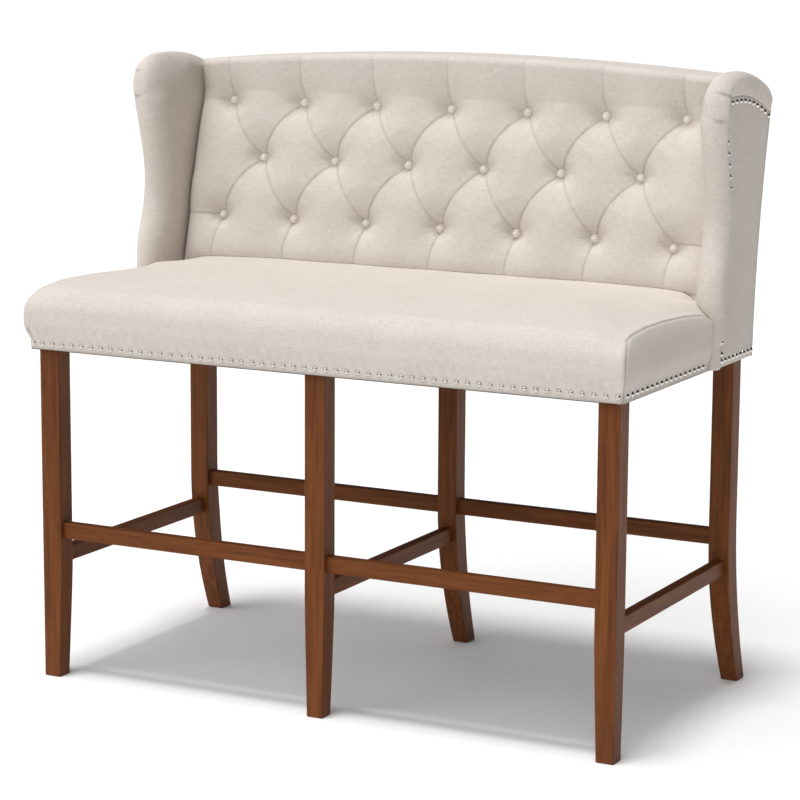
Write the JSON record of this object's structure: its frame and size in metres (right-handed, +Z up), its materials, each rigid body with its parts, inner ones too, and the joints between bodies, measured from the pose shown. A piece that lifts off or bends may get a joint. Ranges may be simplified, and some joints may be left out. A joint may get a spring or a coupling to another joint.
{
  "type": "bar stool bench",
  "caption": "Upholstered bar-height bench with a button-tufted back, padded wings, nail trim and wooden legs joined by foot rails.",
  "frame": {"origin": "centre of the bounding box's footprint, on the floor", "axes": "+X along the bench to the right seen from the front, +Y to the back, +Z up"},
  "size_m": [1.236, 0.664, 1.1555],
  "materials": {
    "walnut": "walnut-stained satin lacquer",
    "raw_wood": "planed, unfinished",
    "plywood": "sanded, unfinished",
    "foam": "open-cell upholstery foam",
    "linen": "light beige woven linen look",
    "cambric": "black non-woven cloth",
    "steel": "zinc plated",
    "nickel": "polished nickel"
  },
  "bodies": {
    "root": {"front_leg_left": "walnut", "front_leg_middle": "walnut", "front_leg_right": "walnut", "rear_leg_left": "walnut", "rear_leg_middle": "walnut", "rear_leg_right": "walnut", "front_stretcher_left": "walnut", "front_stretcher_right": "walnut", "rear_stretcher_left": "walnut", "rear_stretcher_right": "walnut", "side_stretcher_left": "walnut", "side_stretcher_middle": "walnut", "side_stretcher_right": "walnut", "stretcher_dowels": "raw_wood", "seat_rail_front": "raw_wood", "seat_rail_rear": "raw_wood", "seat_rail_left": "raw_wood", "seat_rail_right": "raw_wood", "seat_rail_middle": "raw_wood", "corner_blocks": "raw_wood", "leg_bolts": "steel", "leg_nuts": "steel", "seat_deck": "plywood", "seat_foam": "foam", "seat_cover": "linen", "dust_cover": "cambric", "back_rib_outer_left": "plywood", "back_rib_inner_left": "plywood", "back_rib_inner_right": "plywood", "back_rib_outer_right": "plywood", "rib_screws": "steel", "back_top_rail": "raw_wood", "back_board": "plywood", "back_pad": "linen", "tuft_buttons": "linen", "rear_panel": "linen", "wing_frame_left": "plywood", "wing_frame_right": "plywood", "wing_pad_left": "linen", "wing_pad_right": "linen", "wing_panel_left": "linen", "wing_panel_right": "linen", "seat_nails_front": "nickel", "seat_nails_left": "nickel", "seat_nails_right": "nickel", "wing_nails_left": "nickel", "wing_nails_right": "nickel"}
  },
  "joints": []
}
